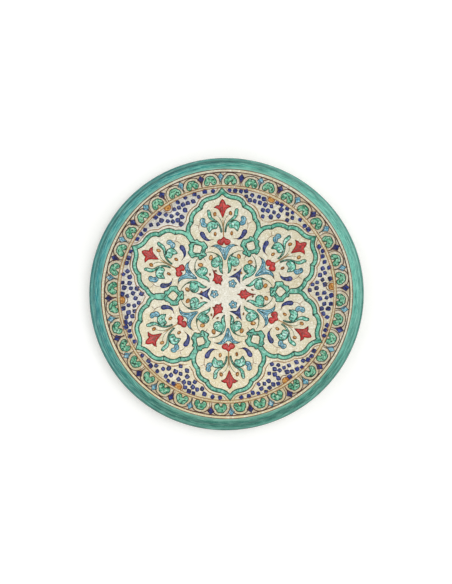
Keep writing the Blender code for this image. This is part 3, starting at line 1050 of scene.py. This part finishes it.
paintFilms("cobaltLeaves", "cobaltBlue", cobalt, 0.2)
outlineStrokes(paintFilms("ochreSpots", "ochre", ochre, 0.14, pool=0.9), "manganeseBrown", 0.55, load=0.45,
               shortest=5)
for shape in range(dotted["dabShapes"]):
    marks = []
    for i in range(8):
        reach = dotted["dabSize"] / 2 * (1.08 if i % 2 else 0.90) * hand.uniform(0.90, 1.10)
        marks.append((reach * math.cos(math.pi * i / 4), reach * math.sin(math.pi * i / 4)))
    dab, _ = filmMesh("dab", [curveThrough(marks, True, 0.8)], 0.26, grain=1.2)
    dabObject = bpy.data.objects.new("dab", dab)
    bpy.context.scene.collection.objects.link(dabObject)
    own = dabSpots[shape::dotted["dabShapes"]]
    points = bpy.data.meshes.new("dabSpots")
    points.from_pydata([(spot.x * mm, spot.y * mm, 0.0) for spot, _ in own], [], [])
    setField(points, "turn", [turn for _, turn in own])
    setField(points, "size", [hand.uniform(0.86, 1.10) for _ in own])
    painted["cobaltBlue"].append(runTree(points, dabs, {"Dab": dabObject, "Finish": finishes["cobaltBlue"]}))
    bpy.data.objects.remove(dabObject)
print(len(dabSpots), "blue dabs painted")

# The arcade under the rim: little arches over green leaves, with drops between them.
arcade = {
    "count": 36,
    "first": 7.2,
    "leaf": [[(0, 151.2), (2.8, 150.8), (4.9, 149.5), (5.8, 147.6), (7.1, 146.6), (7.9, 144.2), (7.3, 141.4),
              (5.0, 139.8), (2.8, 139.9), (1.7, 141.4), (1.0, 143.0), (0, 143.6)]],
    "arch": [(-11.0, 139.6), (-11.7, 143.2), (-11.2, 147.0), (-9.0, 150.8), (-5.2, 153.4), (0, 154.4),
             (5.2, 153.4), (9.0, 150.8), (11.2, 147.0), (11.7, 143.2), (11.0, 139.6)],
    "drop": [[(0, 155.0), (1.7, 152.8), (4.6, 150.2)],
             [(4.6, 150.2), (2.5, 147.8), (1.2, 145.6), (0, 142.4)]],
    "dropTail": [(0, 147), (0, 143.4), (0, 139.8)],
    "dropFirst": 2.5,
    "variants": 3,
    "crowding": 0.95,          # degrees that the spacing drifts ahead and behind round the ring
    "crowdedAt": 75,
    "unevenness": 0.5,         # degrees that a motif is out of place by chance
    "leafFlecks": ((-2.6, 147.6, 1.3, 0.9), (2.9, 146.4, 1.0, 1.3), (-4.9, 142.6, 1.2, 0.8),
                   (4.8, 142.0, 0.9, 0.9)),
}
step = math.radians(360 / arcade["count"])


def ringOfCopies(mesh, count, first, turnStep, finish, seed):
    # the motif is drawn on the way up (+Y), so its ring starts a quarter turn back
    return runTree(mesh, ringOf, {"Count": count, "First": math.radians(first - 90), "Step": turnStep,
                                  "Unevenness": math.radians(arcade["unevenness"]), "Seed": seed,
                                  "Crowding": math.radians(arcade["crowding"]),
                                  "Crowded At": math.radians(arcade["crowdedAt"] - 90),
                                  "Finish": finishes[finish]})


def swayed(points, seed, reach=0.45):
    # a motif drawn once more by hand
    return [Vector(p) + Vector(noise.noise_vector(Vector((p[0] / 5, p[1] / 5, seed * 3.1)))[:2]) * reach
            for p in points]


for variant in range(arcade["variants"]):
    count = arcade["count"] // arcade["variants"]
    first = arcade["first"] + variant * 10
    turnStep = step * arcade["variants"]
    leafOutline = swayed(traced(mirrored(arcade["leaf"])), variant)
    leafMesh, loops = filmMesh("archLeaf", [leafOutline], 0.18)
    painted["mottledGreen"].append(ringOfCopies(leafMesh, count, first, turnStep, "mottledGreen", variant))
    inkLines = [{"line": evenly(loops[0], 1.1), "widths": [0.9, 0.9], "closed": True, "lift": 0.12}]
    for x, y, wide, high in arcade["leafFlecks"]:
        spot = swayed([(x, y)], variant + 5, 2.2)[0]
        inkLines.append({"line": [spot + Vector((-wide, 0.2)), spot, spot + Vector((wide, -0.2))],
                         "widths": [0.6, high * 1.5, 0.5], "load": 0.6, "lift": 0.2})
    painted["darkGreen"].append(ringOfCopies(drawn("archLeafInk", inkLines, "darkGreen", 6), count, first,
                                             turnStep, "darkGreen", variant))
    arch = swayed(curveThrough(arcade["arch"], False, 1.3), variant + 2)
    brown = [{"line": arch, "widths": [0.7, 1.0, 1.1, 1.0, 0.7], "load": 0.85}]
    painted["manganeseBrown"].append(ringOfCopies(drawn("arches", brown, "manganeseBrown", 6), count, first,
                                                  turnStep, "manganeseBrown", variant))
for finish, ink, later, seed in (("cobaltBlue", "manganeseBrown", 0, 21), ("skyBlue", "darkGreen", 10, 22)):
    count, first = arcade["count"] // 2, arcade["dropFirst"] + later
    dropMesh, loops = filmMesh("archDrop", [traced(mirrored(arcade["drop"]), 0.6)], 0.2, grain=1.1, pool=0.9)
    painted[finish].append(ringOfCopies(dropMesh, count, first, 2 * step, finish, seed))
    tails = [{"line": curveThrough(arcade["dropTail"], False, 1.0), "widths": [1.2, 0.9, 0.5]},
             {"line": evenly(loops[0], 0.9), "widths": [0.5, 0.5], "closed": True}]
    painted[ink].append(ringOfCopies(drawn("dropTails", tails, ink, 6), count, first, 2 * step, ink, seed))
print("arcade painted")

# The drawn rings: the double line inside the arcade, and the two under the crest.
rings = (("ochreLine", 139.3, 1.0, 0.9), ("ochreLine", 136.1, 1.0, 0.7),
         ("manganeseBrown", 155.2, 1.3, 0.85), ("manganeseBrown", 158.9, 0.9, 0.6))
for i, (ink, radius, width, load) in enumerate(rings):
    turns = [2 * math.pi * k / 420 for k in range(420)]
    wander = [radius + 0.28 * math.sin(3 * t + i) + 0.16 * math.sin(7 * t + 2 * i) for t in turns]
    strokes[ink].append({"line": [Vector((r * math.cos(t), r * math.sin(t))) for r, t in zip(wander, turns)],
                         "widths": [width, width], "closed": True, "load": load,
                         "lift": 0.1})

for ink, paths in strokes.items():
    painted[ink].append(drawn(ink + "Strokes", paths, ink))
for finish, meshes in painted.items():
    name, slot = paintedPieces[finish]
    mesh = layDown(joined(name, meshes))
    addPiece(name, mesh, finishes[finish])
    print(name, len(mesh.polygons), "faces")

# The dish itself.
clay = firedClay()
wash = backWash()
faceRings = coat(faceLine, dishShape["coat"])
ground = turnPiece("cream_ground", faceRings, 480, creamGlaze(), "ground_glaze")
rimPiece = turnPiece("green_rim", coat(rimLine, dishShape["coat"]), 400, copperGreenGlaze(),
                     "rim_glaze")
back = turnPiece("washed_back", coat(backLine, dishShape["coat"]), 320, wash, "back_glaze")
turnPiece("washed_recess", coat(recessLine, dishShape["coat"]), 160, wash, "recess_glaze")
surface = faceLine[::3] + rimLine[1::3] + backLine[2::4] + recessLine
turnPiece("thrown_body", inward(surface, dishShape["coat"] + dishShape["gap"]), 200, clay,
          "dish_body")
footTop = dishShape["footTop"] / mm
footMarks = [(86.2, footTop - 0.2), (85.6, footTop * 0.6), (85.0, 2.4), (84.6, 0.9), (83.7, 0.15),
             (82.6, 0.0), (80.6, 0.0), (79.4, 0.2), (78.6, 1.0), (78.2, 2.4), (77.6, footTop * 0.6),
             (77.1, footTop - 1.4)]
foot = [(radius * mm, height * mm) for radius, height in footMarks]
turnPiece("thrown_foot", foot, 240, clay, "foot_ring")

# How the glazes vary over the dish, with painted light and shade among the changes, kept on the pieces' own
# points. Radii are in millimetres; a band is where a stain or a painted shade comes in and where it fades
# out.
stainsAndPaintedLight = {
    "bleedReach": 6.5,              # how far the cobalt ran in the firing
    "bleedShadeSide": 145,               # degrees round, where painted shade deepens the halo most
    "blushBand": (138, 142, 153.5, 156),         # a tan wash behind the arches, deepest between them
    "strawBand": (134.8, 136.5, 139, 140.5),     # the yellower stripe inside the double line
    # a painted highlight, paler towards the middle
    "glareMiddle": (14, 46),
    "creamEdge": (158.5, 163),      # the green is thin where it meets the cream
    "lipLine": 170.4,               # a painted highlight along the top of the rolled lip
    # the outer edge of the lip, darkened as painted shade
    "darkEdge": (170.7, 172.8),
    "shadeRingLine": 164.8,              # a ring of painted shade, deepest on the -Y side
    # the rim's sides for painted light, painted shade and a painted blue reflection: degrees round, and how
    # narrow each side is
    "sides": {"thinSide": (22, 0.35), "thickSide": (-98, 0.3), "blueSide": (160, 0.1)},
}


def stainedBand(radius, band):
    return smoothStep(band[0], band[1], radius) * (1 - smoothStep(band[2], band[3], radius))


places = coordinates(ground.data)
flat = places[:, :2] / mm
fromMiddle = np.hypot(flat[:, 0], flat[:, 1])
around = np.arctan2(flat[:, 1], flat[:, 0])
blueTree = nearestTo([spot for spot, _ in dabSpots])
near = np.array([blueTree.find((x, y, 0.0))[2] if 90 < r < 140 else 99.0
                 for (x, y), r in zip(flat, fromMiddle)])
crowd = arcade["crowding"] * np.cos(around - math.radians(arcade["crowdedAt"]))
between = np.cos(2 * math.pi / step * (around - np.radians(arcade["dropFirst"] + crowd)))
shade = 0.3 + 0.7 * smoothStep(-0.5, 0.9, between + (fromMiddle - 150) / 8)
# the cobalt's halo, deepened towards the upper left by painted shade, and a painted highlight over the middle
# as pale
for name, values in (
        ("blueBleed", np.exp(-(near / stainsAndPaintedLight["bleedReach"]) ** 2)
         * (0.25 + 0.75 * np.maximum(0, np.cos(around - math.radians(stainsAndPaintedLight["bleedShadeSide"]))))),
        ("warmSide", smoothStep(-20, 150, -flat[:, 1] - 0.3 * flat[:, 0])),
        ("blush", shade * stainedBand(fromMiddle, stainsAndPaintedLight["blushBand"])),
        ("straw", stainedBand(fromMiddle, stainsAndPaintedLight["strawBand"])),
        ("pale", 1 - smoothStep(*stainsAndPaintedLight["glareMiddle"], fromMiddle))):
    setField(ground.data, name, values)

places = coordinates(rimPiece.data)
fromMiddle = np.hypot(places[:, 0], places[:, 1]) / mm
around = np.arctan2(places[:, 1], places[:, 0])
upper = places[:, 2] > 28 * mm                     # the top of the rim, not its underside
grooveRadius = (dishShape["lipRadius"] - dishShape["beadBend"]) / mm - 2.0
# the groove darkened where glaze pooled, deepened towards the upper left by painted shade, joined with a ring
# of painted shade on the -Y side; then a painted highlight on the lip and painted shade on its outer edge
furrow = np.exp(-((fromMiddle - grooveRadius) / 2.0) ** 2) * (0.3 + 0.7 * np.maximum(0, np.cos(around - 2.0)))
pooled = 0.8 * np.exp(-((fromMiddle - stainsAndPaintedLight["shadeRingLine"]) / 2.2) ** 2) * np.maximum(0, np.cos(around + 1.5))
for name, values in (("furrow", np.maximum(furrow, pooled) * upper),
                     ("innerEdge", (1 - smoothStep(*stainsAndPaintedLight["creamEdge"], fromMiddle)) * upper),
                     ("lipEdge", np.exp(-(fromMiddle - stainsAndPaintedLight["lipLine"]) ** 2) * upper),
                     ("outerEdge", smoothStep(*stainsAndPaintedLight["darkEdge"], fromMiddle))):
    setField(rimPiece.data, name, values)
# painted light, painted shade and a painted blue reflection, laid on the rim by its side
for name, (way, spread) in stainsAndPaintedLight["sides"].items():
    setField(rimPiece.data, name, np.maximum(0, np.cos(around - math.radians(way)) - spread) / (1 - spread))

fromMiddle = np.hypot(*coordinates(back.data)[:, :2].T)
setField(back.data, "ridge", 0.5 + 0.5 * np.sin(2 * math.pi * fromMiddle / dishShape["ridgePitch"]))
print("dish turned")

# Floor, light and camera: a sheet of matt white paper under one softbox, seen from straight above.
studio = {
    "floor": "#ffffff",
    "floorGlow": 0.16,
    "world": 0.84,
    "keyPower": 5.5,
    "keySize": 0.55,
    "keyPlace": (0.24, 0.16, 1.75),
    "lens": 85,
    "distance": 1.7515,
    "sideways": -0.08,
    "aim": (-0.0011, 0.0026, 0.03),
}
floorMesh = bpy.data.meshes.new("floor")
floorMesh.from_pydata([(-90, -90, 0), (90, -90, 0), (90, 90, 0), (-90, 90, 0)], [], [(0, 1, 2, 3)])
floor = bpy.data.objects.new("floor", floorMesh)
bpy.context.scene.collection.objects.link(floor)
paper, paperTree, paperShader, paperPlace = startMaterial("mattPaper", 0.9)
paperTree.links.new(tint(paperTree, mottle(paperTree, paperPlace, 120, 0.4, 0.6), studio["floor"], "#fbfbfa"),
                    paperShader.inputs["Base Color"])
paperShader.inputs["Emission Color"].default_value = hexColour(studio["floor"])
paperShader.inputs["Emission Strength"].default_value = studio["floorGlow"]
floorMesh.materials.append(paper)

world = bpy.data.worlds.new("studio")
bpy.context.scene.world = world
world.use_nodes = True
world.node_tree.nodes["Background"].inputs["Color"].default_value = (1, 1, 1, 1)
world.node_tree.nodes["Background"].inputs["Strength"].default_value = studio["world"]
bpy.context.scene.view_settings.view_transform = "Standard"

lamp = bpy.data.lights.new("softbox", "AREA")
lamp.energy = studio["keyPower"]
lamp.size = studio["keySize"]
softbox = bpy.data.objects.new("softbox", lamp)
softbox.location = studio["keyPlace"]
softbox.rotation_euler = (Vector(studio["aim"]) - softbox.location).to_track_quat("-Z", "Y").to_euler()
bpy.context.scene.collection.objects.link(softbox)

lens = bpy.data.cameras.new("camera")
lens.lens = studio["lens"]
camera = bpy.data.objects.new("camera", lens)
height = math.sqrt(studio["distance"] ** 2 - studio["sideways"] ** 2)
camera.location = Vector(studio["aim"]) + Vector((studio["sideways"], 0.0, height))
camera.rotation_euler = (0.0, math.asin(studio["sideways"] / studio["distance"]), 0.0)
bpy.context.scene.collection.objects.link(camera)
bpy.context.scene.camera = camera
